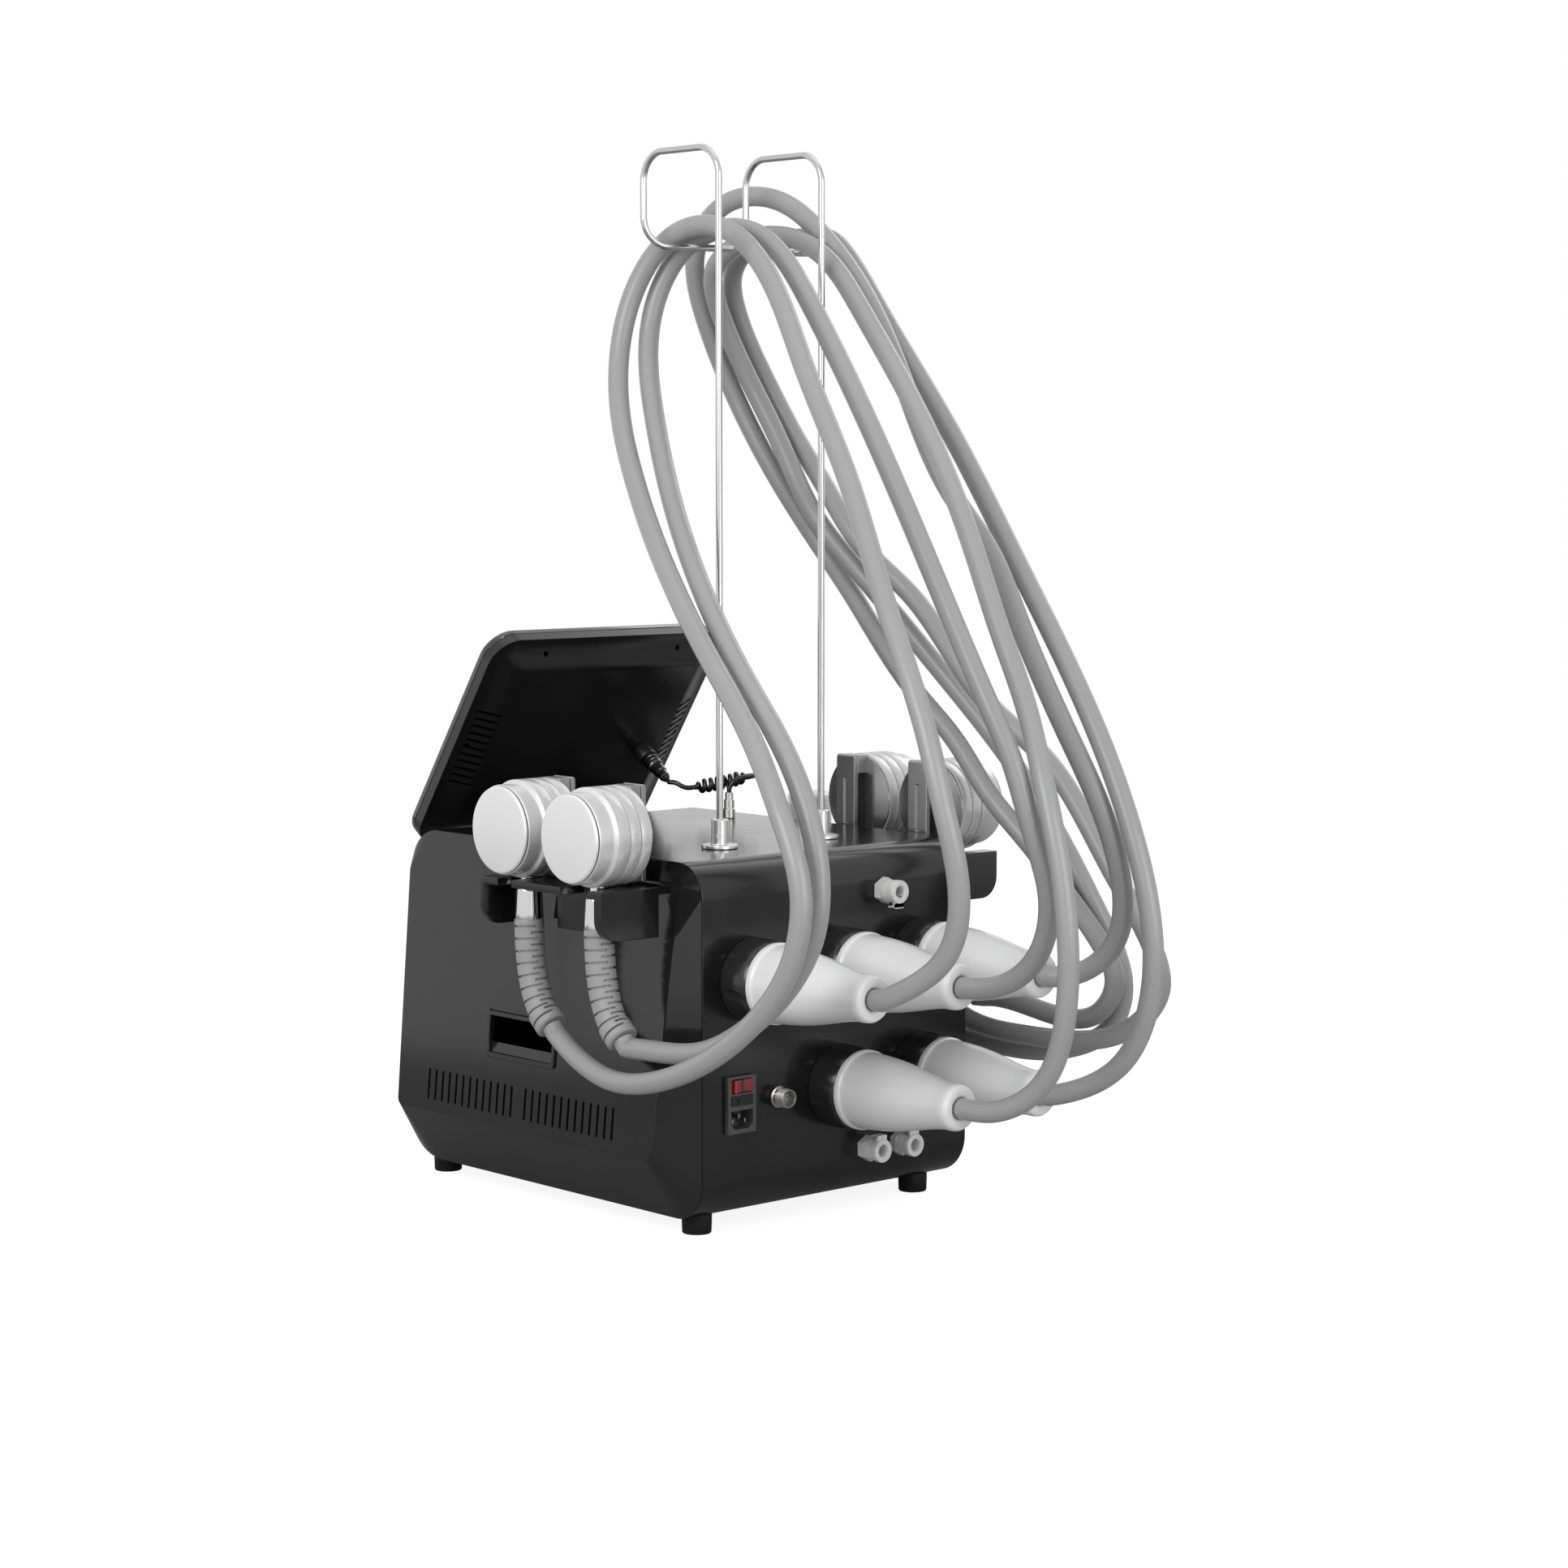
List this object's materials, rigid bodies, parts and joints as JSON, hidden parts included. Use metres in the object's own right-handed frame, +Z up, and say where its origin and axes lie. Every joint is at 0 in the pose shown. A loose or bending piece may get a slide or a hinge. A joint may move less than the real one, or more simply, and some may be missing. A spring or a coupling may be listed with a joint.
{
  "type": "cryotherapy facial machine",
  "caption": "Table-top facial cooling machine: a box body with a tilting screen, hose-fed round applicators in side holders, rear hose couplings and tall hooks that carry the hoses.",
  "frame": {"origin": "centre of the machine without its free cords, on the surface that its feet stand on", "axes": "+Z up, +X to the side with the mains inlet, -Y the way the screen faces, +Y the way the hose sockets face"},
  "size_m": [0.4955, 0.7193, 0.9245],
  "materials": {
    "black_plastic": "glossy black",
    "dark_panel": "satin grey",
    "rubber": "matt",
    "screen_glass": "black backed glass",
    "steel": "polished",
    "white_plastic": "glossy white",
    "grey_plastic": "satin",
    "hose_plastic": "satin",
    "cord_plastic": "satin black",
    "red_plastic": "glossy red"
  },
  "bodies": {
    "machine": {"applicator_1_grip": "black_plastic", "applicator_1_head": "white_plastic", "applicator_1_stem": "grey_plastic", "applicator_2_grip": "black_plastic", "applicator_2_head": "white_plastic", "applicator_2_stem": "grey_plastic", "applicator_3_grip": "black_plastic", "applicator_3_head": "white_plastic", "applicator_3_stem": "grey_plastic", "applicator_4_grip": "black_plastic", "applicator_4_head": "white_plastic", "applicator_4_stem": "grey_plastic", "foot_front_left": "rubber", "foot_front_right": "rubber", "foot_rear_left": "rubber", "foot_rear_right": "rubber", "foot_switch_socket": "steel", "hanger_collar_left": "steel", "hanger_collar_right": "steel", "hanger_rod_left": "steel", "hanger_rod_right": "steel", "hose_1": "hose_plastic", "hose_2": "hose_plastic", "hose_3": "hose_plastic", "hose_4": "hose_plastic", "hose_5": "hose_plastic", "hose_boot_1": "white_plastic", "hose_boot_2": "white_plastic", "hose_boot_3": "white_plastic", "hose_boot_4": "white_plastic", "hose_boot_5": "white_plastic", "hose_socket_block": "grey_plastic", "left_holder": "black_plastic", "left_side_cover": "dark_panel", "main_housing": "black_plastic", "mains_inlet": "black_plastic", "quick_coupling_1": "white_plastic", "quick_coupling_2": "white_plastic", "quick_coupling_3": "white_plastic", "right_holder": "black_plastic", "right_side_cover": "dark_panel", "screen_cord": "cord_plastic", "screen_cord_top_plug": "steel", "screen_hinge_bracket": "black_plastic", "screen_hinge_pin": "steel", "small_applicator_head": "white_plastic", "small_applicator_stem": "grey_plastic"},
    "screen": {"screen_back_cover": "black_plastic", "screen_front_panel": "screen_glass", "screen_cord_screen_plug": "black_plastic"},
    "rocker": {"mains_rocker": "red_plastic"},
    "drawer": {"fuse_drawer": "black_plastic"},
    "ring_1": {"coupling_ring_1": "black_plastic"},
    "ring_2": {"coupling_ring_2": "black_plastic"},
    "ring_3": {"coupling_ring_3": "black_plastic"},
    "ring_4": {"coupling_ring_4": "black_plastic"},
    "ring_5": {"coupling_ring_5": "black_plastic"},
    "latch_1": {"quick_coupling_1_latch": "white_plastic"},
    "latch_2": {"quick_coupling_2_latch": "white_plastic"},
    "latch_3": {"quick_coupling_3_latch": "white_plastic"}
  },
  "joints": [
    {"name": "screen_tilt", "type": "hinge", "parent": "machine", "child": "screen", "pos_m": [0, -0.25457, 0.31416], "axis": [1, 0, 0], "range_deg": [-10, 30], "deforming": ["screen_cord"]},
    {"name": "rocker_tilt", "type": "hinge", "parent": "machine", "child": "rocker", "pos_m": [0.11485, 0.14959, 0.1305], "axis": [0, 0, 1], "range_deg": [-12, 0]},
    {"name": "drawer_slide", "type": "slide", "parent": "machine", "child": "drawer", "axis": [0, 1, 0], "range_m": [0, 0.012]},
    {"name": "ring_1_turn", "type": "hinge", "parent": "machine", "child": "ring_1", "pos_m": [0.1, 0.16419, 0.219], "axis": [0, 1, 0], "range_deg": [0, 90]},
    {"name": "ring_2_turn", "type": "hinge", "parent": "machine", "child": "ring_2", "pos_m": [0, 0.16419, 0.219], "axis": [0, 1, 0], "range_deg": [0, 90]},
    {"name": "ring_3_turn", "type": "hinge", "parent": "machine", "child": "ring_3", "pos_m": [-0.097, 0.16419, 0.219], "axis": [0, 1, 0], "range_deg": [0, 90]},
    {"name": "ring_4_turn", "type": "hinge", "parent": "machine", "child": "ring_4", "pos_m": [0, 0.16419, 0.117], "axis": [0, 1, 0], "range_deg": [0, 90]},
    {"name": "ring_5_turn", "type": "hinge", "parent": "machine", "child": "ring_5", "pos_m": [-0.097, 0.16419, 0.117], "axis": [0, 1, 0], "range_deg": [0, 90]},
    {"name": "latch_1_press", "type": "slide", "parent": "machine", "child": "latch_1", "axis": [0, 0, 1], "range_m": [0, 0.0015], "stiffness_N_per_m": 500, "springref_m": -0.0005},
    {"name": "latch_2_press", "type": "slide", "parent": "machine", "child": "latch_2", "axis": [0, 0, -1], "range_m": [0, 0.0015], "stiffness_N_per_m": 500, "springref_m": -0.0005},
    {"name": "latch_3_press", "type": "slide", "parent": "machine", "child": "latch_3", "axis": [0, 0, -1], "range_m": [0, 0.0015], "stiffness_N_per_m": 500, "springref_m": -0.0005}
  ]
}
